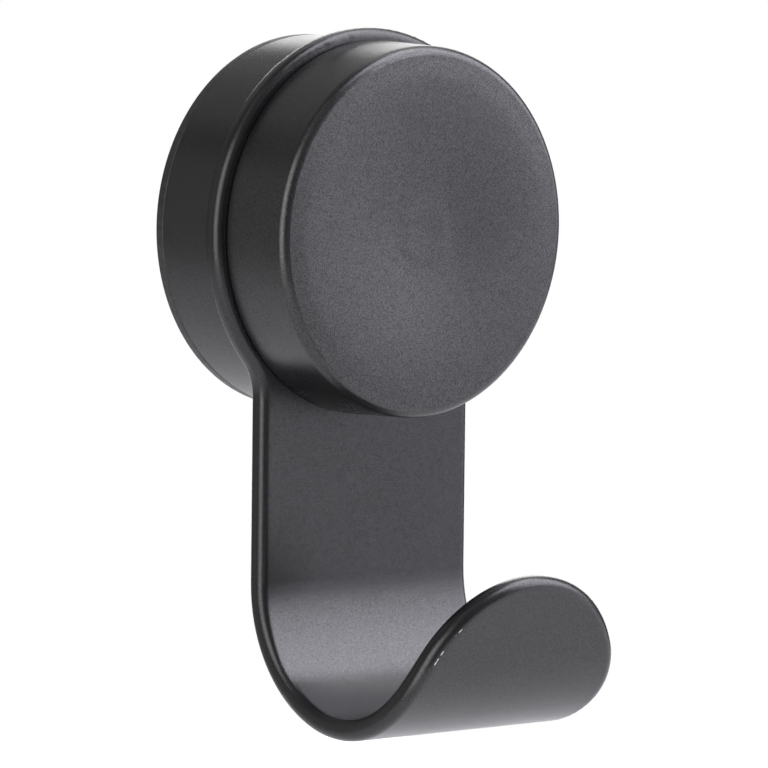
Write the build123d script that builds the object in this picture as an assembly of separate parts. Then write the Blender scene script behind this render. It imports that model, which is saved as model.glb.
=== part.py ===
"""Suction wall hook with a turned front knob that draws the suction cup in.

Frame: the wall is the plane y = 0 and the hook stands out of it along -Y.
+Z is up and +X is to the right, seen from the front. The origin is the middle
of the suction cup's sealing face. Depths are measured from the wall, outwards.
All sizes are in millimetres.
"""
import os
from math import sqrt

from build123d import *

# Turned knob, the size that the rest is measured against; its side widens a little to the rear
knob_radius = 28.0
knob_depth = 12.7
knob_draft = 0.35
knob_wall = 2.0
knob_face = 2.4
knob_edge_round = 1.4
knob_rim_round = 0.3
knob_rib_count = 6
knob_rib_thickness = 1.2
knob_rib_setback = 2.5
boss_wall = 3.0

# Suction cup, with a hub moulded round the stud's flange
cup_thickness = 1.6
cup_lip_width = 3.5
cup_dome_rise = 2.6
cup_edge_round = 0.15
hub_wall = 2.5
hub_floor = 1.0
hub_cover = 1.2

# Draw stud
stud_radius = 5.0
stud_flat_depth = 1.0
stud_end_chamfer = 0.8
flange_overhang = 3.5
flange_thickness = 1.6
draw_travel = 2.5

# Base bell, with a guide for the stud inside and a key for the hook in front
base_margin = 0.4
bell_wall = 2.4
bell_top = 2.4
bell_edge_round = 0.15
bell_rib_count = 8
bell_rib_thickness = 1.4
bell_rib_setback = 3.9
guide_wall = 3.4
guide_length = 1.1
key_wall = 3.0
key_corner = 3.0
key_relief = 0.2

# Hook strap, bent to a wide arc first and then to a tight one, with turns counted from the strap;
# the lip's straight run is shorter than its half round by the setback
head_margin = 2.1
strap_width = 41.4
strap_thickness = 3.3
strap_drop = 53.1
neck_radius = 8.0
wide_radius = 22.0
wide_turn = 68.0
tight_radius = 19.2
full_turn = 162.0
lip_setback = 8.0
face_edge_round = 1.2
back_edge_round = 1.4

# Clearances
running_clearance = 0.1
key_clearance = 0.15
moulded_clearance = 0.05
stud_end_clearance = 0.6
hub_clearance = 0.5

# Radii, widths and lengths that follow from those sizes
flange_radius = stud_radius + flange_overhang
hub_radius = flange_radius + hub_wall
guide_radius = stud_radius + guide_wall
boss_radius = stud_radius + boss_wall
key_side = 2 * (stud_radius + key_wall)
base_radius = knob_radius + base_margin
bell_bore = base_radius - bell_wall
head_radius = knob_radius + head_margin
knob_rear_radius = knob_radius + knob_draft
lip_run = strap_width / 2 - lip_setback

# Depths from the wall that follow from them, from the cup outwards
flange_rear = cup_dome_rise + hub_floor
flange_front = flange_rear + flange_thickness
hub_front = flange_front + hub_cover
guide_rear = hub_front + draw_travel + hub_clearance
bell_rear = cup_thickness
bell_ceiling = guide_rear + guide_length
bell_front = bell_ceiling + bell_top
hook_front = bell_front + strap_thickness
knob_rear = hook_front + running_clearance
knob_front = knob_rear + knob_depth
bore_end = knob_front - knob_face
stud_front = bore_end - stud_end_clearance - draw_travel

# Planes: a front view, a half section (radius, depth) and a side view (depth, height)
FRONT_VIEW = Plane.XZ
HALF_SECTION = Plane(origin=(0, 0, 0), x_dir=(1, 0, 0), z_dir=(0, 0, -1))
SIDE_VIEW = Plane(origin=(0, 0, 0), x_dir=(0, -1, 0), z_dir=(-1, 0, 0))
TURN_AXIS = Axis((0, 0, 0), (0, -1, 0))


def at_depth(depth):
    """The front view's plane at this depth from the wall."""
    return FRONT_VIEW.offset(depth)


def prism(sketch, start, end):
    """A front-view sketch made solid from one depth to another."""
    return extrude(at_depth(start) * sketch, amount=end - start)


def turned(half_section):
    """A half section of radius and depth, turned about the knob's axis."""
    return revolve(HALF_SECTION * half_section, axis=TURN_AXIS)


def rounded(half_section, radius, *corners):
    """A half section with its corners at these points (radius, depth) rounded."""
    return fillet([half_section.vertices().sort_by_distance(corner)[0] for corner in corners], radius)


def double_d(clearance):
    """The stud's round section with a flat on each side, grown by a clearance."""
    across_flats = 2 * (stud_radius - stud_flat_depth + clearance)
    radius = stud_radius + clearance
    return Circle(radius) & Rectangle(across_flats, 2 * radius)


def key_square(clearance):
    """The rounded square that locks the hook's head to the bell, grown by a clearance."""
    side = key_side + 2 * clearance
    return RectangleRounded(side, side, key_corner + clearance)


def radial_ribs(half_section, count, thickness):
    """Webs of one half section (radius, depth), set evenly round the axis."""
    web = extrude(HALF_SECTION * half_section, amount=thickness / 2, both=True)
    return [web.rotate(TURN_AXIS, turn * 360 / count) for turn in range(count)]


def dome_arc(half_span, depth):
    """The dome's half section: an arc from its edge at this depth up to the axis."""
    radius = (half_span**2 + cup_dome_rise**2) / (2 * cup_dome_rise)
    return RadiusArc((half_span, depth), (0, depth + cup_dome_rise), -radius)


def make_suction_cup():
    """Soft cup: a flat sealing lip, a shallow dome and a hub round the stud's flange."""
    lip_inner = base_radius - cup_lip_width
    rear_dome = dome_arc(lip_inner, 0)
    front_dome = dome_arc(lip_inner, cup_thickness)
    rim = Polyline(
        (lip_inner, 0),
        (base_radius, 0),
        (base_radius, cup_thickness),
        (lip_inner, cup_thickness),
    )
    section = make_face([rear_dome, Line(rear_dome @ 1, front_dome @ 1), front_dome, rim])
    cup = turned(rounded(section, cup_edge_round, (base_radius, 0), (base_radius, cup_thickness)))
    cup += prism(Circle(hub_radius), flange_rear, hub_front)
    cup -= prism(Circle(flange_radius + moulded_clearance), flange_rear, flange_front)
    cup -= prism(Circle(stud_radius + moulded_clearance), flange_rear, hub_front)
    return cup


def make_draw_stud():
    """Stud with a flange held in the cup, and two flats that slide in the bell."""
    shank = prism(double_d(0), flange_front, stud_front)
    end_face = shank.faces().sort_by(Axis.Y)[0]
    shank = chamfer(end_face.edges(), stud_end_chamfer)
    return shank + prism(Circle(flange_radius), flange_rear, flange_front)


def make_base_bell():
    """Open bell over the cup, with a ribbed roof, the stud's guide and the hook's key."""
    section = make_face(
        Polyline(
            (0, bell_ceiling),
            (bell_bore, bell_ceiling),
            (bell_bore, bell_rear),
            (base_radius, bell_rear),
            (base_radius, bell_front),
            (0, bell_front),
            close=True,
        )
    )
    bell = turned(rounded(section, bell_edge_round, (base_radius, bell_rear)))
    bell += prism(Circle(guide_radius), guide_rear, bell_ceiling)
    rib_root = bell_ceiling + bell_top / 2
    rib = make_face(
        Polyline(
            (stud_radius, guide_rear),
            (hub_radius + hub_clearance, guide_rear),
            (bell_bore + bell_wall / 2, bell_rear + bell_rib_setback),
            (bell_bore + bell_wall / 2, rib_root),
            (stud_radius, rib_root),
            close=True,
        )
    )
    bell += radial_ribs(rib, bell_rib_count, bell_rib_thickness)
    key_front = hook_front - key_relief
    bell += prism(key_square(0), bell_front, key_front)
    return bell - prism(double_d(running_clearance), guide_rear, key_front)


def make_hook_strap():
    """Round head, neck, strap, bend and half-round lip, all of one moulded thickness."""
    hook = make_stem() + make_lip()
    hook = fillet(outline_edges(hook, strap_thickness), face_edge_round)
    hook = fillet(outline_edges(hook, 0), back_edge_round)
    return hook - prism(key_square(key_clearance), bell_front, hook_front)


def make_stem():
    """The head, the strap and the wide arc of the bend."""
    strap = Pos(0, -strap_drop / 2) * Rectangle(strap_width, strap_drop)
    outline = Circle(head_radius) + strap
    neck_height = -sqrt(head_radius**2 - (strap_width / 2) ** 2)
    corners = [v for v in outline.vertices() if abs(v.Y - neck_height) < neck_radius / 2]
    outline = fillet(corners, neck_radius)
    return prism(outline, bell_front, hook_front) + bend_slice(0, wide_turn, strap_width)


def make_lip():
    """The tight arc of the bend and the lip, cut to a half round seen from the front."""
    outer_end = bend_point(0, full_turn)
    inner_end = bend_point(strap_thickness, full_turn)
    tip = outer_end + along_strap(full_turn) * lip_run
    raw_run = along_strap(full_turn) * strap_width
    run = make_face(Polyline(outer_end, outer_end + raw_run, inner_end + raw_run, inner_end, close=True))
    raw_lip = bend_slice(wide_turn, full_turn, 2 * strap_width)
    raw_lip += extrude(SIDE_VIEW * run, strap_width, both=True)
    half_width = strap_width / 2
    middle = Pos(0, tip.Y - half_width)
    half_round = middle * Circle(half_width)
    half_round += middle * Pos(0, -half_width) * Rectangle(strap_width, strap_width)
    sides = middle * Rectangle(strap_width, 2 * strap_width)
    lowest = tight_centre().X
    return raw_lip & (prism(sides, 0, lowest) + prism(half_round, lowest, lowest + 2 * strap_width))


def along_strap(turn):
    """The side-view direction in which the strap runs on after this many degrees of turn."""
    return Vector(0, -1).rotate(Axis.Z, turn)


def out_of_back(turn):
    """The side-view direction that points out of the strap's back after this many degrees of turn."""
    return Vector(-1, 0).rotate(Axis.Z, turn)


def wide_centre():
    """The wide arc's centre in the side view."""
    return Vector(bell_front + wide_radius, -strap_drop)


def tight_centre():
    """The tight arc's centre in the side view: where both arcs meet, they run in line."""
    return wide_centre() + out_of_back(wide_turn) * (wide_radius - tight_radius)


def bend_arc(turn):
    """The centre and the outer radius of the arc that ends at this turn."""
    if turn > wide_turn:
        return tight_centre(), tight_radius
    return wide_centre(), wide_radius


def bend_point(level, turn):
    """A side-view point on the bend after this turn, at this level in front of its back."""
    centre, radius = bend_arc(turn)
    return centre + out_of_back(turn) * (radius - level)


def bend_slice(start, end, width):
    """The part of one arc of the bend between two turns, over this width."""
    centre, radius = bend_arc(end)
    inner_radius = radius - strap_thickness
    section = make_face(
        [
            CenterArc(centre, radius, 180 + start, end - start),
            Line(bend_point(0, end), bend_point(strap_thickness, end)),
            CenterArc(centre, inner_radius, 180 + start, end - start),
            Line(bend_point(strap_thickness, start), bend_point(0, start)),
        ]
    )
    return extrude(SIDE_VIEW * section, width / 2, both=True)


def level_in_strap(point):
    """How far a point lies in front of the strap's back, through its thickness."""
    side = SIDE_VIEW.to_local_coords(point)
    wide_arm = Vector(side.X, side.Y) - wide_centre()
    tight_arm = Vector(side.X, side.Y) - tight_centre()
    if wide_arm.X < 0 < wide_arm.Y:
        return wide_radius + wide_arm.X
    if tight_arm.dot(along_strap(full_turn)) > 0:
        return tight_radius - tight_arm.dot(out_of_back(full_turn))
    if tight_arm.dot(along_strap(wide_turn)) < 0:
        return wide_radius - wide_arm.length
    return tight_radius - tight_arm.length


def outline_edges(hook, level):
    """The edges round the strap's skin at this level in its thickness."""
    found = []
    for edge in hook.edges():
        crosses_strap = edge.geom_type == GeomType.LINE and abs(edge.tangent_at(0.5).X) > 0.999
        on_level = abs(level_in_strap(edge.position_at(0.5)) - level) < strap_thickness / 20
        if on_level and not crosses_strap:
            found.append(edge)
    return found


def make_turn_knob():
    """Hollow cap with a rounded face edge, a bored boss and webs between them."""
    section = make_face(
        Polyline(
            (0, bore_end),
            (knob_radius - knob_wall, bore_end),
            (knob_rear_radius - knob_wall, knob_rear),
            (knob_rear_radius, knob_rear),
            (knob_radius, knob_front),
            (0, knob_front),
            close=True,
        )
    )
    section = rounded(section, knob_edge_round, (knob_radius, knob_front))
    knob = turned(rounded(section, knob_rim_round, (knob_rear_radius, knob_rear)))
    root_depth = bore_end + knob_face / 2
    knob += prism(Circle(boss_radius), knob_rear, root_depth)
    rib = make_face(
        Polyline(
            (stud_radius, knob_rear + knob_rib_setback),
            (knob_radius - knob_wall / 2, knob_rear + knob_rib_setback),
            (knob_radius - knob_wall / 2, root_depth),
            (stud_radius, root_depth),
            close=True,
        )
    )
    knob += radial_ribs(rib, knob_rib_count, knob_rib_thickness)
    return knob - prism(Circle(stud_radius + running_clearance), knob_rear, bore_end)


MAKERS = {
    "suction_cup": make_suction_cup,
    "draw_stud": make_draw_stud,
    "base_bell": make_base_bell,
    "hook_strap": make_hook_strap,
    "turn_knob": make_turn_knob,
}


def main():
    """Makes every piece and writes each to a file of its own name."""
    os.makedirs("parts", exist_ok=True)
    for node, make in MAKERS.items():
        export_step(make(), f"parts/{node}.step")


if __name__ == "__main__":
    main()
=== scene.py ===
"""Looks of the suction wall hook: its finishes, soft cup, threaded stud and flash, and the studio.

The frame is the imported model's, in metres: the wall is the plane y = 0, -Y points out of the wall
and +Z is up. A depth is a distance in front of the wall. An azimuth of 0 is straight in front of
the hook and 90 is to its right.
"""

import logging
import math
from collections.abc import Callable
from dataclasses import dataclass, field
from enum import Enum

import bmesh
import bpy
from mathutils import Matrix, Vector


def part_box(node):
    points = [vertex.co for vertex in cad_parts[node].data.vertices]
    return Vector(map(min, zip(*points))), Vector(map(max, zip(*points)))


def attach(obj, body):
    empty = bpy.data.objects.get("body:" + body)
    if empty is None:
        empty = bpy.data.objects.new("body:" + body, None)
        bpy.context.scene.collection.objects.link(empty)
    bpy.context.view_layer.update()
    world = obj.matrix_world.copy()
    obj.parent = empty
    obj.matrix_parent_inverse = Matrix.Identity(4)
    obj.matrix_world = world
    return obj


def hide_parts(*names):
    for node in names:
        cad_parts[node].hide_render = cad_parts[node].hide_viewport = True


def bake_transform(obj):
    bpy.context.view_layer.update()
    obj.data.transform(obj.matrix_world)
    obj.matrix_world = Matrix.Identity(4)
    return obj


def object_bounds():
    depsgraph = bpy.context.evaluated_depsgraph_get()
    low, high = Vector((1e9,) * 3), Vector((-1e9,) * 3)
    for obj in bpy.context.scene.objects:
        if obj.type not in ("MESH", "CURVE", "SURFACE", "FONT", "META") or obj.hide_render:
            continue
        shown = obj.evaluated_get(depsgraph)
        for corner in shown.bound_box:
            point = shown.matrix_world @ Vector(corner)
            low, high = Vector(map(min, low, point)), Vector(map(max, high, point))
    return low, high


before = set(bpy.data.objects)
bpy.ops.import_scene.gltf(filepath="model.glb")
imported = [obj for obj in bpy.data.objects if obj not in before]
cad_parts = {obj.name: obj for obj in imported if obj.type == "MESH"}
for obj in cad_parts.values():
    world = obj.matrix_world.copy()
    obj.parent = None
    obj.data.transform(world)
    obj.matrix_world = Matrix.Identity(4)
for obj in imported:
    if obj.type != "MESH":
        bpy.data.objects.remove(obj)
CAD_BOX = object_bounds()

MM = 0.001
MICRON = 0.000001
LOG = logging.getLogger("wall_hook")

Colour = tuple[float, float, float]
Point = tuple[float, float]
Value = bpy.types.NodeSocket | float | int | Colour | None
Size = float | int | bpy.types.Material
Sockets = dict[str, bpy.types.NodeSocket]

NOISE_SPAN: Point = (0.25, 0.75)
EVENING_SAMPLES = 8
NEAR_ZERO = 0.001


class Body(Enum):
    """The rigid bodies that the scene's own pieces move with."""

    BASE = "base"
    STUD = "stud"


class Slot(Enum):
    """The record's material slots that the scene's own pieces take."""

    CUP = "cup_rubber"
    STUD = "stud_plastic"
    HOOK = "hook_plastic"


class Node(Enum):
    """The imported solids."""

    CUP = "suction_cup"
    STUD = "draw_stud"
    BELL = "base_bell"
    HOOK = "hook_strap"
    KNOB = "turn_knob"


def direction(azimuth: float, elevation: float) -> Vector:
    """The direction that points from the hook to a place round it.

    Args:
        azimuth: Degrees to the right of straight in front.
        elevation: Degrees above the horizon.

    Returns:
        A vector of length 1.
    """
    turn, lift = math.radians(azimuth), math.radians(elevation)
    level = math.cos(lift)
    return Vector((math.sin(turn) * level, -math.cos(turn) * level, math.sin(lift)))


def new_object(name: str, data: bpy.types.ID) -> bpy.types.Object:
    """Puts a mesh, lamp or camera into the scene as an object of this name."""
    made = bpy.data.objects.new(name, data)
    bpy.context.scene.collection.objects.link(made)
    return made


class NodeGraph:
    """A node tree under construction, of shader or geometry nodes."""

    def __init__(self, tree: bpy.types.NodeTree) -> None:
        """Takes a tree and empties it."""
        tree.nodes.clear()
        self.tree = tree

    def add(self, kind: str, *values: Value, **settings: object) -> bpy.types.Node:
        """Adds a node.

        Args:
            kind: The node's type.
            *values: What its inputs get, in their order. None leaves an input as it is.
            **settings: Properties of the node.

        Returns:
            The new node.
        """
        node = self.tree.nodes.new(kind)
        for name, setting in settings.items():
            setattr(node, name, setting)
        for socket, value in zip(node.inputs, values):
            self.feed(socket, value)
        return node

    def feed(self, socket: bpy.types.NodeSocket, value: Value) -> None:
        """Links a socket to another one, or sets its value."""
        if isinstance(value, bpy.types.NodeSocket):
            self.tree.links.new(value, socket)
        elif value is not None:
            socket.default_value = value

    def math(self, operation: str, *values: Value) -> bpy.types.NodeSocket:
        """The result of one sum."""
        return self.add("ShaderNodeMath", *values, operation=operation).outputs[0]

    def total(self, *values: Value) -> bpy.types.NodeSocket:
        """The sum of two or more values."""
        result = values[0]
        for value in values[1:]:
            result = self.math("ADD", result, value)
        return result

    def ramp(
        self, value: Value, low: float, high: float, start: float, end: float
    ) -> bpy.types.NodeSocket:
        """A value between low and high, brought smoothly to the range from start to end."""
        smooth = {"interpolation_type": "SMOOTHSTEP"}
        node = self.add("ShaderNodeMapRange", value, low, high, start, end, **smooth)
        return node.outputs["Result"]

    def noise(self, place: Value, size: float, detail: float = 2.0) -> bpy.types.NodeSocket:
        """Even random patches from 0 to 1.

        Args:
            place: The coordinates.
            size: How large a patch is, in metres.
            detail: How many finer layers are added.

        Returns:
            The noise's value.
        """
        node = self.add("ShaderNodeTexNoise", place)
        self.feed(node.inputs["Scale"], 1 / size)
        self.feed(node.inputs["Detail"], detail)
        return self.ramp(node.outputs[0], *NOISE_SPAN, 0.0, 1.0)


@dataclass(frozen=True)
class Finish:
    """A moulded material whose tone, gloss and skin stray a little over its surface.

    Attributes:
        name: The material's name.
        dark: Colour in the darkest patches.
        light: Colour in the lightest patches.
        gloss: Roughness in the glossiest and in the dullest patches.
        sheen: How strongly the grain's pits and its tops mirror, by the shader's specular level.
        patch_size: How large the patches are.
        patch_detail: How many finer layers the patches have.
        grain_size: How large the grain of the mould's surface is.
        grain_height: How high the grain stands.
        swell_size: How long the slow waves of the skin are.
        swell_height: How high the slow waves are.
        swell_detail: How many finer layers the slow waves have.
        evening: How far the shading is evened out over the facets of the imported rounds.
    """

    name: str
    dark: Colour
    light: Colour
    gloss: Point
    sheen: Point = (0.52, 0.72)
    patch_size: float = 6.0 * MM
    patch_detail: float = 4.0
    grain_size: float = 0.32 * MM
    grain_height: float = 4.0 * MICRON
    swell_size: float = 9.0 * MM
    swell_height: float = 12.0 * MICRON
    swell_detail: float = 0.0
    evening: float = 0.0

    def make(self) -> bpy.types.Material:
        """Makes the material from shader nodes.

        Returns:
            The material, on Object coordinates.
        """
        material = bpy.data.materials.new(self.name)
        material.use_nodes = True
        material.cycles.use_bump_map_correction = False
        graph = NodeGraph(material.node_tree)
        place = graph.add("ShaderNodeTexCoord").outputs["Object"]
        patches = graph.noise(place, self.patch_size, self.patch_detail)
        tones = graph.add("ShaderNodeValToRGB", patches)
        for element, colour in zip(tones.color_ramp.elements, (self.dark, self.light)):
            element.color = (*colour, 1.0)
        grain = graph.noise(place, self.grain_size)
        bump = graph.add("ShaderNodeBump")
        graph.feed(bump.inputs["Distance"], 1.0)
        graph.feed(bump.inputs["Height"], self.relief(graph, place, grain))
        if self.evening:
            evened = graph.add("ShaderNodeBevel", self.evening, samples=EVENING_SAMPLES)
            graph.feed(bump.inputs["Normal"], evened.outputs["Normal"])
        shader = graph.add("ShaderNodeBsdfPrincipled")
        graph.feed(shader.inputs["Base Color"], tones.outputs["Color"])
        graph.feed(shader.inputs["Roughness"], graph.ramp(patches, 0.0, 1.0, *self.gloss))
        graph.feed(shader.inputs["Specular IOR Level"], graph.ramp(grain, 0.0, 1.0, *self.sheen))
        graph.feed(shader.inputs["Normal"], bump.outputs["Normal"])
        graph.add("ShaderNodeOutputMaterial", shader.outputs["BSDF"])
        return material

    def relief(self, graph: NodeGraph, place: Value, grain: Value) -> bpy.types.NodeSocket:
        """The skin's height in metres.

        Args:
            graph: The material's nodes.
            place: The coordinates.
            grain: The grain, from 0 in its pits to 1 on its tops.

        Returns:
            The height, as a socket.
        """
        fine = graph.math("MULTIPLY", grain, self.grain_height)
        waves = graph.noise(place, self.swell_size, self.swell_detail)
        swell = graph.math("MULTIPLY", waves, self.swell_height)
        return graph.total(fine, swell)


@dataclass(frozen=True)
class SunkenFinish(Finish):
    """A finish that shades a flat face as a dish, with the mark of the boss behind its middle.

    Attributes:
        crest_radius: Where the shaded face stands highest, round the turning axis.
        dish_depth: How far it sinks from there to its middle.
        rim_radius: Where the face ends.
        rim_fall: How far it falls from the crest to its rim.
        boss_radii: Where the boss's round mark starts to fall and where it ends.
        boss_height: How far the mark stands out of the dish.
    """

    crest_radius: float = 23.0 * MM
    dish_depth: float = 0.80 * MM
    rim_radius: float = 28.0 * MM
    rim_fall: float = 0.16 * MM
    boss_radii: Point = (3.4 * MM, 6.0 * MM)
    boss_height: float = 50.0 * MICRON

    def relief(self, graph: NodeGraph, place: Value, grain: Value) -> bpy.types.NodeSocket:
        """The skin's height in metres, with the dish, its rim and the boss's mark."""
        across = graph.add("ShaderNodeVectorMath", place, (1.0, 0.0, 1.0), operation="MULTIPLY")
        length = graph.add("ShaderNodeVectorMath", across.outputs[0], operation="LENGTH")
        radius = length.outputs["Value"]
        dish = graph.ramp(radius, 0.0, self.crest_radius, -self.dish_depth, 0.0)
        rim = graph.ramp(radius, self.crest_radius, self.rim_radius, 0.0, -self.rim_fall)
        boss = graph.ramp(radius, *self.boss_radii, self.boss_height, 0.0)
        return graph.total(super().relief(graph, place, grain), dish, rim, boss)


BLACK: Colour = (0.0085, 0.0084, 0.0091)
PALE_BLACK: Colour = (0.0105, 0.0103, 0.0112)
SATIN_BLACK = Finish(
    name="satin_black_plastic",
    dark=BLACK,
    light=PALE_BLACK,
    gloss=(0.24, 0.27),
    sheen=(0.42, 0.75),
    grain_size=0.179 * MM,
    grain_height=3.0 * MICRON,
    evening=1.0 * MM,
)
KNOB_BLACK = SunkenFinish(
    name="grained_black_plastic",
    dark=BLACK,
    light=PALE_BLACK,
    gloss=(0.27, 0.30),
    sheen=(0.37, 1.08),
    grain_size=0.1321 * MM,
    grain_height=3.0 * MICRON,
)
BASE_BLACK = Finish(
    name="base_black_plastic",
    dark=BLACK,
    light=PALE_BLACK,
    gloss=(0.24, 0.27),
)
# The flash is the hook's black plastic; this pale grey is painted glints, highlights on its broken
# edge.
GLINT_FLASH = Finish(
    name="glint_painted_flash",
    dark=(0.36, 0.36, 0.36),
    light=(0.62, 0.62, 0.62),
    gloss=(0.18, 0.26),
    patch_size=1.5 * MM,
)
SOFT_RUBBER = Finish(
    name="soft_black_rubber",
    dark=(0.013, 0.013, 0.014),
    light=(0.020, 0.020, 0.021),
    gloss=(0.38, 0.50),
    grain_size=0.9 * MM,
    grain_height=1.5 * MICRON,
)
STUD_GREY = Finish(
    name="moulded_grey_plastic",
    dark=(0.30, 0.30, 0.29),
    light=(0.37, 0.37, 0.36),
    gloss=(0.42, 0.52),
    patch_size=2.5 * MM,
)


def dress(node: Node, finish: Finish) -> None:
    """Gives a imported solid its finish."""
    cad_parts[node.value].data.materials[0] = finish.make()
    LOG.info("%s is dressed in %s", node.value, finish.name)


def arc(centre: Point, radius: float, start: float, end: float, steps: int) -> list[Point]:
    """Points along an arc in a half section.

    Args:
        centre: Radius and depth of the arc's centre.
        radius: The arc's radius.
        start: Where it starts, in degrees from the outward direction towards the front.
        end: Where it ends.
        steps: How many stretches it is divided into.

    Returns:
        Points of radius and depth, both ends included.
    """
    turns = [math.radians(start + (end - start) * step / steps) for step in range(steps + 1)]
    across, depth = centre
    return [(across + radius * math.cos(turn), depth + radius * math.sin(turn)) for turn in turns]


def lathe(name: str, section: list[Point], segments: int) -> bpy.types.Mesh:
    """Turns a half section about the knob's axis.

    Args:
        name: The mesh's name.
        section: Points of radius and depth, from the axis round to the axis.
        segments: How many steps the turn is divided into.

    Returns:
        A closed mesh that points outwards.
    """
    mesh = bmesh.new()
    rings = []
    for radius, depth in section:
        if radius == 0:
            rings.append([mesh.verts.new((0.0, -depth, 0.0))] * segments)
            continue
        turns = [2 * math.pi * step / segments for step in range(segments)]
        spots = [(radius * math.cos(turn), -depth, radius * math.sin(turn)) for turn in turns]
        rings.append([mesh.verts.new(spot) for spot in spots])
    for ring, following in zip(rings, rings[1:]):
        for step in range(segments):
            after = (step + 1) % segments
            corners = dict.fromkeys((ring[step], ring[after], following[after], following[step]))
            mesh.faces.new(corners)
    bmesh.ops.recalc_face_normals(mesh, faces=mesh.faces)
    made = bpy.data.meshes.new(name)
    mesh.to_mesh(made)
    mesh.free()
    return made


def shade(mesh: bpy.types.Mesh, crease: float) -> None:
    """Shades a mesh smooth, with its edges sharp where they turn by more than crease degrees."""
    mesh.shade_smooth()
    mesh.set_sharp_from_angle(angle=math.radians(crease))


def grow_by_nodes(
    target: bpy.types.Object,
    name: str,
    sizes: dict[str, Size],
    wire: Callable[[NodeGraph, Sockets], bpy.types.NodeSocket],
) -> None:
    """Grows an object's mesh by geometry nodes and leaves it a plain mesh.

    Args:
        target: The object, whose mesh is the tree's Geometry input.
        name: The tree's name.
        sizes: The tree's inputs by name, a material among them.
        wire: The function that wires the nodes and gives back the geometry.
    """
    tree = bpy.data.node_groups.new(name, "GeometryNodeTree")
    graph = NodeGraph(tree)
    for end in ("INPUT", "OUTPUT"):
        tree.interface.new_socket("Geometry", in_out=end, socket_type="NodeSocketGeometry")
    kinds = {
        int: "NodeSocketInt",
        float: "NodeSocketFloat",
        bpy.types.Material: "NodeSocketMaterial",
    }
    sockets = {
        title: tree.interface.new_socket(title, in_out="INPUT", socket_type=kinds[type(size)])
        for title, size in sizes.items()
    }
    inputs = graph.add("NodeGroupInput").outputs
    shape = wire(graph, {title: inputs[title] for title in ("Geometry", *sizes)})
    realized = graph.add("GeometryNodeRealizeInstances", shape)
    covered = graph.add("GeometryNodeSetMaterial", realized.outputs[0])
    graph.feed(covered.inputs["Material"], inputs["Material"])
    graph.add("NodeGroupOutput", covered.outputs[0])
    modifier = target.modifiers.new(name, "NODES")
    modifier.node_group = tree
    for title, size in sizes.items():
        modifier[sockets[title].identifier] = size
    evaluated = target.evaluated_get(bpy.context.evaluated_depsgraph_get())
    grown = bpy.data.meshes.new_from_object(evaluated)
    target.modifiers.clear()
    target.data = grown


@dataclass
class WallBase:
    """The bell and the soft cup behind it, whose middle is drawn out by the stud.

    Attributes:
        rim_thickness: The cup's thickness, at its rim and all over.
        rim_round: Round of the rim's two edges.
        lip_width: Width of the flat sealing lip.
        dome_rise: How far the dome stands off the wall in its middle.
        hub_round: Round of the hub's front edge.
        pocket_radius: Radius of the pocket in the hub for the stud's flange.
        pocket_depths: Where the pocket starts and ends.
        hole_radius: Radius of the stud's hole in the hub.
        hub_radius: Radius of the hub.
        segments: Steps round the cup.
        rim_steps: Steps over each round of the rim.
        hub_steps: Steps over the hub's round.
        dome_steps: Steps from the middle of the dome, or from the hub, to the lip.
        crease: Degrees at which an edge of the cup is sharp.
        low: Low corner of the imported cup's box.
        high: High corner of it.
    """

    rim_thickness: float = 1.6 * MM
    rim_round: float = 0.15 * MM
    lip_width: float = 3.5 * MM
    dome_rise: float = 2.6 * MM
    hub_round: float = 0.5 * MM
    pocket_radius: float = 8.55 * MM
    pocket_depths: Point = (3.6 * MM, 5.2 * MM)
    hole_radius: float = 5.05 * MM
    hub_radius: float = 11.0 * MM
    segments: int = 160
    rim_steps: int = 6
    hub_steps: int = 5
    dome_steps: int = 24
    crease: float = 40.0
    low: Vector = field(default_factory=lambda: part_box(Node.CUP.value)[0])
    high: Vector = field(default_factory=lambda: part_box(Node.CUP.value)[1])

    def build(self) -> bpy.types.Object:
        """Makes the cup and puts it in place of the imported one.

        Returns:
            The cup.
        """
        mesh = lathe("suction_cup_rubber", self.section(), self.segments)
        shade(mesh, self.crease)
        cup = new_object("suction_cup_rubber", mesh)
        mesh.materials.append(SOFT_RUBBER.make())
        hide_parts(Node.CUP.value)
        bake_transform(cup)
        return cup

    def section(self) -> list[Point]:
        """The cup's half section: its sealing side, rim, front side, hub and pocket."""
        rim = self.high.x
        bead = rim - self.rim_round
        front = -self.low.y
        lip = rim - self.lip_width
        rear_dome = self.dome(lip, 0.0, 0.0)
        front_dome = self.dome(lip, self.hub_radius, self.rim_thickness)[::-1]
        front_bead = self.rim_thickness - self.rim_round
        hub_middle = (self.hub_radius - self.hub_round, front - self.hub_round)
        pocket_rear, pocket_front = self.pocket_depths
        return [
            *rear_dome,
            *arc((bead, self.rim_round), self.rim_round, -90.0, 0.0, self.rim_steps),
            *arc((bead, front_bead), self.rim_round, 0.0, 90.0, self.rim_steps),
            *front_dome,
            *arc(hub_middle, self.hub_round, 0.0, 90.0, self.hub_steps),
            (self.hole_radius, front),
            (self.hole_radius, pocket_front),
            (self.pocket_radius, pocket_front),
            (self.pocket_radius, pocket_rear),
            (0.0, pocket_rear),
        ]

    def dome(self, edge: float, inner: float, depth: float) -> list[Point]:
        """Points along one side of the dome.

        Args:
            edge: Radius at which the dome meets the flat lip.
            inner: Radius at which the points start.
            depth: The lip's depth on this side.

        Returns:
            Points from the inner radius out to the edge.
        """
        sphere = (edge**2 + self.dome_rise**2) / (2 * self.dome_rise)
        middle = depth + self.dome_rise - sphere
        steps = self.dome_steps
        radii = [inner + (edge - inner) * step / steps for step in range(steps + 1)]
        return [(radius, middle + math.sqrt(sphere**2 - radius**2)) for radius in radii]

    def dress(self) -> None:
        """Gives the bell its finish."""
        dress(Node.BELL, BASE_BLACK)


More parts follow.
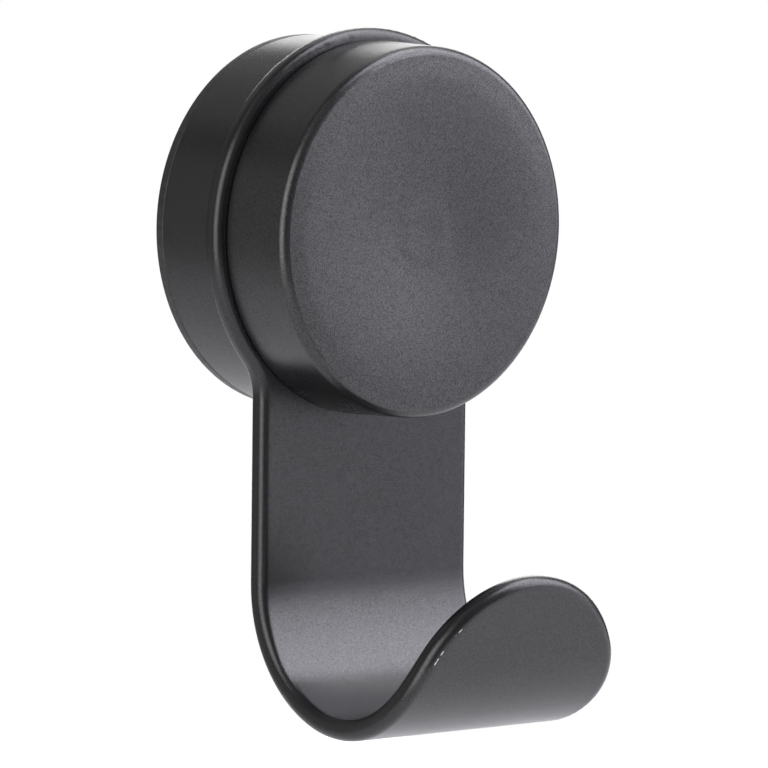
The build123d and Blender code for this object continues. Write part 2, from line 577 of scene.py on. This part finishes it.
@dataclass
class DrawStud:
    """The stud that the knob draws out: a flange, two flats and a thread at its front.

    Attributes:
        shank_radius: Radius over the thread's crests.
        flat_distance: Distance of each flat from the axis.
        flange_thickness: Thickness of the flange in the cup.
        flange_edge: Bevel of the flange's edges.
        pitch: The thread's pitch, which is one turn's travel.
        thread_depth: How deep the thread is cut.
        groove_flank: Where the groove's flank starts and ends, in pitches from the groove's middle.
        thread_start: Depth at which the thread starts.
        run_out: Length over which it reaches its full depth.
        end_bevel: Bevel of the front end.
        around: Steps round the stud.
        along: Steps along it.
        crease: Degrees at which an edge of the stud is sharp.
    """

    shank_radius: float = 5.0 * MM
    flat_distance: float = 4.0 * MM
    flange_thickness: float = 1.6 * MM
    flange_edge: float = 0.2 * MM
    pitch: float = 2.5 * MM
    thread_depth: float = 0.75 * MM
    groove_flank: Point = (0.14, 0.34)
    thread_start: float = 13.5 * MM
    run_out: float = 1.2 * MM
    end_bevel: float = 0.8 * MM
    around: int = 120
    along: int = 210
    crease: float = 30.0

    def sizes(self) -> dict[str, Size]:
        """The node tree's inputs, by name."""
        low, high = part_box(Node.STUD.value)
        return {
            "Around": self.around,
            "Along": self.along,
            "Rear": -high.y,
            "Front": -low.y,
            "Flange Radius": high.x,
            "Flange Front": self.flange_thickness - high.y,
            "Flange Edge": self.flange_edge,
            "Shank Radius": self.shank_radius,
            "Flat Distance": self.flat_distance,
            "Pitch": self.pitch,
            "Thread Depth": self.thread_depth,
            "Thread Start": self.thread_start,
            "Run Out": self.run_out,
            "End Bevel": self.end_bevel,
            "Material": STUD_GREY.make(),
        }

    def build(self) -> bpy.types.Object:
        """Makes the stud by geometry nodes and lets it ride on its own body.

        Returns:
            The stud.
        """
        stud = new_object("draw_stud_threaded", bpy.data.meshes.new("draw_stud_threaded"))
        grow_by_nodes(stud, "threaded_stud", self.sizes(), self.wire)
        shade(stud.data, self.crease)
        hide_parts(Node.STUD.value)
        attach(stud, Body.STUD.value)
        return stud

    def wire(self, graph: NodeGraph, sizes: Sockets) -> bpy.types.NodeSocket:
        """Wires a cylinder whose every point is moved to the stud's surface.

        Args:
            graph: The tree's nodes.
            sizes: The tree's inputs, by name.

        Returns:
            The geometry.
        """
        blank = graph.add("GeometryNodeMeshCylinder", sizes["Around"], sizes["Along"], 1, 1.0, 1.0)
        blank.fill_type = "NGON"
        place = graph.add("ShaderNodeSeparateXYZ", graph.add("GeometryNodeInputPosition").outputs[0])
        share = graph.math("ADD", place.outputs["Z"], 0.5)
        length = graph.math("SUBTRACT", sizes["Front"], sizes["Rear"])
        depth = graph.math("MULTIPLY_ADD", share, length, sizes["Rear"])
        turn = graph.math("ARCTAN2", place.outputs["Y"], place.outputs["X"])
        radius = self.wire_radius(graph, sizes, depth, turn)
        across = graph.math("MULTIPLY", radius, graph.math("COSINE", turn))
        up = graph.math("MULTIPLY", radius, graph.math("SINE", turn))
        moved = graph.add("ShaderNodeCombineXYZ", across, graph.math("MULTIPLY", depth, -1.0), up)
        turned = graph.add("GeometryNodeSetPosition", blank.outputs["Mesh"])
        graph.feed(turned.inputs["Position"], moved.outputs[0])
        return turned.outputs[0]

    def wire_radius(
        self,
        graph: NodeGraph,
        sizes: Sockets,
        depth: bpy.types.NodeSocket,
        turn: bpy.types.NodeSocket,
    ) -> bpy.types.NodeSocket:
        """Wires the stud's radius at a place: the flange's at the rear, the threaded shank's beyond.

        Args:
            graph: The tree's nodes.
            sizes: The tree's inputs, by name.
            depth: The place's depth.
            turn: The place's angle about the axis.

        Returns:
            The radius.
        """
        turns = graph.math("DIVIDE", turn, 2 * math.pi)
        pitches = graph.math("DIVIDE", depth, sizes["Pitch"])
        phase = graph.math("FRACT", graph.math("SUBTRACT", pitches, turns))
        flank = graph.math("ABSOLUTE", graph.math("SUBTRACT", phase, 0.5))
        cut = graph.ramp(flank, *self.groove_flank, 1.0, 0.0)
        past_start = graph.math("SUBTRACT", depth, sizes["Thread Start"])
        run_out = graph.math("DIVIDE", past_start, sizes["Run Out"])
        begun = graph.add("ShaderNodeClamp", run_out).outputs[0]
        groove = graph.math("MULTIPLY", graph.math("MULTIPLY", cut, begun), sizes["Thread Depth"])
        shank = graph.math("SUBTRACT", sizes["Shank Radius"], groove)
        to_front = graph.math("SUBTRACT", sizes["Front"], depth)
        end_radius = graph.math("SUBTRACT", sizes["Shank Radius"], sizes["End Bevel"])
        shank = graph.math("MINIMUM", shank, graph.math("ADD", end_radius, to_front))
        leaning = graph.math("MAXIMUM", graph.math("ABSOLUTE", graph.math("COSINE", turn)), NEAR_ZERO)
        shank = graph.math("MINIMUM", shank, graph.math("DIVIDE", sizes["Flat Distance"], leaning))
        to_rear_edge = graph.math("SUBTRACT", depth, sizes["Rear"])
        to_front_edge = graph.math("SUBTRACT", sizes["Flange Front"], depth)
        edge = graph.math("MINIMUM", to_rear_edge, to_front_edge)
        bevel = graph.math("MAXIMUM", graph.math("SUBTRACT", sizes["Flange Edge"], edge), 0.0)
        flange = graph.math("SUBTRACT", sizes["Flange Radius"], bevel)
        in_flange = graph.math("LESS_THAN", depth, sizes["Flange Front"])
        extra = graph.math("MULTIPLY", graph.math("SUBTRACT", flange, shank), in_flange)
        return graph.math("ADD", shank, extra)


@dataclass
class HookStrap:
    """The hook, with the fine broken flash that its mould leaves on the left edge of the lip,
    coloured pale grey as painted glints.

    Attributes:
        strap_width: The strap's width.
        strap_drop: How far below the head's middle the bend starts.
        back_depth: Depth of the strap's back.
        wide_radius: The bend's first radius, at the back.
        wide_turn: Degrees over which it runs.
        tight_radius: The bend's second radius, at the back.
        full_turn: Degrees at which the bend ends and the lip starts.
        lip_run: Length of the lip's straight back.
        edge_round: Round of the back's edge.
        flash_run: How far up the lip the flash runs.
        flash_turn: Degrees round the edge, from the back, at which it runs.
        flash_sink: How deep its middle lies under the skin.
        flash_radius: Its largest radius.
        flash_step: Length of one step along it.
        flash_patch: How long its thicker and thinner stretches are.
        flash_detail: How many finer layers they have.
        flash_swelling: The noise at which a stretch starts to thicken and at which it is full.
        flash_thin: Radius of the thinner stretches, as a share of the largest.
        flash_sides: Sides of its section.
        flash_points: Stretches of the path that it is drawn along.
        flash_crease: Degrees at which an edge of it is sharp.
        seed: Seed of its stretches.
    """

    strap_width: float = 41.4 * MM
    strap_drop: float = 53.1 * MM
    back_depth: float = 12.9 * MM
    wide_radius: float = 22.0 * MM
    wide_turn: float = 68.0
    tight_radius: float = 19.2 * MM
    full_turn: float = 162.0
    lip_run: float = 12.7 * MM
    edge_round: float = 1.4 * MM
    flash_run: float = 6.6 * MM
    flash_turn: float = 12.0
    flash_sink: float = 0.05 * MM
    flash_radius: float = 0.12 * MM
    flash_step: float = 0.06 * MM
    flash_patch: float = 1.3 * MM
    flash_detail: float = 2.0
    flash_swelling: Point = (0.45, 0.6)
    flash_thin: float = 0.2
    flash_sides: int = 10
    flash_points: int = 40
    flash_crease: float = 80.0
    seed: float = 2.0

    def build(self) -> bpy.types.Object:
        """Makes the flash by geometry nodes along the lip's edge, in a pale finish that paints its
        glints.

        Returns:
            The flash.
        """
        path = self.flash_path()
        mesh = bpy.data.meshes.new("hook_lip_flash")
        mesh.from_pydata(path, [(step, step + 1) for step in range(len(path) - 1)], [])
        flash = new_object("hook_lip_flash", mesh)
        sizes = {
            "Radius": self.flash_radius,
            "Step": self.flash_step,
            "Patch": self.flash_patch,
            "Sides": self.flash_sides,
            "Seed": self.seed,
            "Material": GLINT_FLASH.make(),
        }
        grow_by_nodes(flash, "lip_flash", sizes, self.wire)
        shade(flash.data, self.flash_crease)
        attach(flash, Body.BASE.value)
        return flash

    def flash_path(self) -> list[Vector]:
        """Points up the left edge of the lip, from the bend's end."""
        wide_centre = Vector((self.back_depth + self.wide_radius, -self.strap_drop))
        offset = self.wide_radius - self.tight_radius
        tight_centre = wide_centre + self.out_of_back(self.wide_turn) * offset
        lip_start = tight_centre + self.out_of_back(self.full_turn) * self.tight_radius
        upwards = self.out_of_back(self.full_turn - 90.0) * -1.0
        half_width = self.strap_width / 2
        round_start = (lip_start + upwards * self.lip_run).y - half_width
        outwards, upright = self.out_of_back(self.full_turn)
        path = []
        for step in range(self.flash_points + 1):
            depth, height = lip_start + upwards * (self.flash_run * step / self.flash_points)
            rise = max(height - round_start, 0.0)
            side = Vector((-math.sqrt(half_width**2 - rise**2), 0.0, rise)) / half_width
            corner = Vector((side.x * half_width, -depth, height))
            path.append(self.flash_spot(corner, Vector((0.0, -outwards, upright)), side))
        return path

    def flash_spot(self, corner: Vector, back: Vector, side: Vector) -> Vector:
        """A point of the flash, on the round of the back's edge.

        Args:
            corner: Where the back and the side would meet without the round.
            back: The direction out of the back.
            side: The direction out of the side.

        Returns:
            The point.
        """
        lean = back.dot(side)
        middle = corner - (back + side) * self.edge_round / (1 + lean)
        across = (side - back * lean).normalized()
        turn = math.radians(self.flash_turn)
        outwards = back * math.cos(turn) + across * math.sin(turn)
        return middle + outwards * (self.edge_round - self.flash_sink)

    @staticmethod
    def out_of_back(turn: float) -> Vector:
        """The direction of depth and height out of the strap's back after this turn in degrees."""
        return Vector((-math.cos(math.radians(turn)), -math.sin(math.radians(turn))))

    def wire(self, graph: NodeGraph, sizes: Sockets) -> bpy.types.NodeSocket:
        """Wires a fine bead along the path, thicker and thinner by turns.

        Args:
            graph: The tree's nodes.
            sizes: The tree's inputs, by name.

        Returns:
            The geometry.
        """
        path = graph.add("GeometryNodeMeshToCurve", sizes["Geometry"])
        even = graph.add("GeometryNodeResampleCurve", path.outputs[0], mode="LENGTH")
        graph.feed(even.inputs["Length"], sizes["Step"])
        stretches = graph.add("ShaderNodeTexNoise", noise_dimensions="4D")
        graph.feed(stretches.inputs["W"], sizes["Seed"])
        graph.feed(stretches.inputs["Scale"], graph.math("DIVIDE", 1.0, sizes["Patch"]))
        graph.feed(stretches.inputs["Detail"], self.flash_detail)
        swelling = graph.ramp(stretches.outputs[0], *self.flash_swelling, self.flash_thin, 1.0)
        ring = graph.add("GeometryNodeCurvePrimitiveCircle", sizes["Sides"])
        graph.feed(ring.inputs["Radius"], sizes["Radius"])
        swept = graph.add("GeometryNodeCurveToMesh", even.outputs[0], ring.outputs[0])
        graph.feed(swept.inputs["Scale"], swelling)
        graph.feed(swept.inputs["Fill Caps"], True)
        return swept.outputs[0]

    def dress(self) -> None:
        """Gives the hook its finish."""
        dress(Node.HOOK, SATIN_BLACK)


DAYLIGHT: Colour = (0.98, 0.97, 1.07)


@dataclass(frozen=True)
class Softbox:
    """A soft rectangular lamp that faces the hook.

    Attributes:
        name: The lamp's name.
        azimuth: Where it stands, in degrees to the right of straight in front.
        elevation: How high it stands, in degrees.
        distance: How far it stands from the hook.
        width: Its width.
        height: Its height.
        brightness: How bright its face is, with a white room at 1.
        tint: The colour of its light.
    """

    name: str
    azimuth: float
    elevation: float
    distance: float
    width: float
    height: float
    brightness: float
    tint: Colour = (1.0, 1.0, 1.0)

    def build(self, aim: Vector) -> bpy.types.Object:
        """Hangs the lamp.

        Args:
            aim: The point that it faces.

        Returns:
            The lamp.
        """
        lamp = bpy.data.lights.new(self.name, "AREA")
        lamp.shape = "RECTANGLE"
        lamp.size = self.width
        lamp.size_y = self.height
        lamp.energy = math.pi * self.width * self.height * self.brightness
        lamp.color = self.tint
        hung = new_object(self.name, lamp)
        away = direction(self.azimuth, self.elevation)
        hung.location = aim + away * self.distance
        hung.rotation_euler = away.to_track_quat("Z", "Y").to_euler()
        return hung


def stack(
    name: str, azimuth: float, edges: tuple[float, ...], steps: tuple[float, ...]
) -> tuple[Softbox, ...]:
    """A tall softbox made of rows of different brightness, with the light of day.

    Args:
        name: The softbox's name.
        azimuth: Where it stands, in degrees.
        edges: The elevations at which the rows meet, from the bottom up, in degrees.
        steps: The brightness of each row.

    Returns:
        The rows.
    """
    distance = 1.2
    width = 0.95
    rows = []
    for number, (bottom, top, brightness) in enumerate(zip(edges, edges[1:], steps), start=1):
        height = 2 * distance * math.tan(math.radians(top - bottom) / 2)
        middle = (bottom + top) / 2
        title = f"{name}_{number}"
        row = Softbox(title, azimuth, middle, distance, width, height, brightness, DAYLIGHT)
        rows.append(row)
    return tuple(rows)


RIGHT_EDGES = (-20.0, -1.0, 6.0, 14.0, 28.0, 50.0, 72.0)
RIGHT_STEPS = (1.0, 2.4, 3.4, 4.2, 4.7, 5.1)


@dataclass
class Studio:
    """A room with a white backdrop, a pale floor and soft lamps.

    Attributes:
        aim: What the lamps face.
        floor_drop: How far the floor lies below the hook.
        floor_radius: Radius of the floor.
        floor_segments: Steps round it.
        glow_span: Where it starts to whiten where it is seen and where it is white, in radii.
        floor_colour: The floor's colour.
        fill: How bright the room is where it only lights the hook.
        lamps: The lamps.
    """

    aim: Vector = field(default_factory=lambda: (CAD_BOX[0] + CAD_BOX[1]) / 2)
    floor_drop: float = 0.22
    floor_radius: float = 1.6
    floor_segments: int = 96
    glow_span: Point = (0.1, 0.95)
    floor_colour: Colour = (0.86, 0.86, 0.86)
    fill: float = 0.15
    lamps: tuple[Softbox, ...] = (
        Softbox("left_softbox", -73.0, 10.0, 1.0, 0.50, 1.10, 2.9),
        Softbox("left_softbox_front", -52.0, 10.0, 1.0, 0.24, 1.10, 1.5),
        Softbox("left_softbox_rear", -94.0, 10.0, 1.0, 0.24, 1.10, 1.9),
        Softbox("high_left_softbox", -70.0, 58.0, 1.0, 0.60, 0.50, 0.3),
        *stack("right_softbox", 55.0, RIGHT_EDGES, RIGHT_STEPS),
        Softbox("backdrop_softbox", 139.0, 6.0, 1.0, 0.80, 0.80, 2.1),
        Softbox("high_rear_softbox", 120.0, 55.0, 1.0, 0.70, 0.55, 1.25),
        Softbox("left_rear_softbox", -135.0, 8.0, 1.0, 0.60, 0.70, 0.2),
        Softbox("high_backdrop_softbox", 180.0, 45.0, 1.0, 0.70, 0.70, 0.2),
    )

    def build(self) -> None:
        """Lays the floor, hangs the lamps and lights the room."""
        self.lay_floor()
        for lamp in self.lamps:
            lamp.build(self.aim)
        self.light_room()

    def lay_floor(self) -> bpy.types.Object:
        """Lays the floor as a round sheet.

        Returns:
            The floor.
        """
        sheet = bmesh.new()
        sizes = {"segments": self.floor_segments, "radius": self.floor_radius}
        bmesh.ops.create_circle(sheet, cap_ends=True, **sizes)
        mesh = bpy.data.meshes.new("floor")
        sheet.to_mesh(mesh)
        sheet.free()
        mesh.transform(Matrix.Translation((0.0, 0.0, CAD_BOX[0].z - self.floor_drop)))
        mesh.materials.append(self.floor_paint())
        floor = new_object("floor", mesh)
        return floor

    def floor_paint(self) -> bpy.types.Material:
        """The floor's paint: pale and dull, and white towards the floor's edge where it is seen."""
        material = bpy.data.materials.new("pale_floor_paint")
        material.use_nodes = True
        graph = NodeGraph(material.node_tree)
        place = graph.add("ShaderNodeTexCoord").outputs["Object"]
        radius = graph.add("ShaderNodeVectorMath", place, operation="LENGTH").outputs["Value"]
        paint = graph.add("ShaderNodeBsdfDiffuse", (*self.floor_colour, 1.0))
        start, end = (share * self.floor_radius for share in self.glow_span)
        glow = graph.ramp(radius, start, end, 0.0, 1.0)
        seen = graph.math("MULTIPLY", glow, self.seen_rays(graph))
        white = graph.add("ShaderNodeEmission", (1.0, 1.0, 1.0, 1.0), seen)
        both = graph.add("ShaderNodeAddShader", paint.outputs[0], white.outputs[0])
        graph.add("ShaderNodeOutputMaterial", both.outputs[0])
        return material

    def light_room(self) -> None:
        """Makes the room white where it is seen, and a dim fill where it only lights the hook."""
        world = bpy.data.worlds.new("white_room")
        bpy.context.scene.world = world
        world.use_nodes = True
        graph = NodeGraph(world.node_tree)
        strength = graph.ramp(self.seen_rays(graph), 0.0, 1.0, self.fill, 1.0)
        room = graph.add("ShaderNodeBackground", (1.0, 1.0, 1.0, 1.0), strength)
        graph.add("ShaderNodeOutputWorld", room.outputs[0])

    def seen_rays(self, graph: NodeGraph) -> bpy.types.NodeSocket:
        """1 on rays that show the background itself."""
        return graph.add("ShaderNodeLightPath").outputs["Is Camera Ray"]


@dataclass(frozen=True)
class PhotoCamera:
    """A long lens that looks at the hook from its front left, a little from above.

    Attributes:
        azimuth: Where the camera stands, in degrees to the right of straight in front.
        elevation: How high it stands, in degrees.
        roll: How far it leans to its left, in degrees.
        distance: How far it stands from the origin.
        lens: Its focal length on a sensor 36 mm wide, in millimetres.
        sideways: How far the image's middle lies to the right of the origin.
        downwards: How far it lies below the origin.
        clip: How near and how far it sees.
    """

    azimuth: float = -41.26
    elevation: float = 5.43
    roll: float = 0.65
    distance: float = 1.37362
    lens: float = 421.9
    sideways: float = 12.96 * MM
    downwards: float = 25.03 * MM
    clip: Point = (0.1, 20.0)

    def build(self) -> bpy.types.Object:
        """Sets the camera up and looks through it.

        Returns:
            The camera.
        """
        data = bpy.data.cameras.new("photo_camera")
        data.lens = self.lens
        data.clip_start, data.clip_end = self.clip
        camera = new_object("photo_camera", data)
        back = direction(self.azimuth, self.elevation)
        turn = math.radians(self.azimuth)
        level = Vector((math.cos(turn), math.sin(turn), 0.0))
        right = Matrix.Rotation(-math.radians(self.roll), 3, -back) @ level
        up = back.cross(right)
        stand = right * self.sideways - up * self.downwards + back * self.distance
        turned = Matrix((right, up, back)).transposed().to_4x4()
        camera.matrix_world = Matrix.Translation(stand) @ turned
        bpy.context.scene.camera = camera
        return camera


def main() -> None:
    """Dresses the hook, piece by piece, and sets up the studio."""
    logging.basicConfig(level=logging.INFO, format="%(name)s: %(message)s")
    bpy.context.scene.view_settings.view_transform = "Standard"
    base = WallBase()
    hook = HookStrap()
    for piece in (base.build(), hook.build(), DrawStud().build()):
        LOG.info("%s has %d faces", piece.name, len(piece.data.polygons))
    base.dress()
    hook.dress()
    dress(Node.KNOB, KNOB_BLACK)
    Studio().build()
    PhotoCamera().build()


if __name__ == "__main__":
    main()
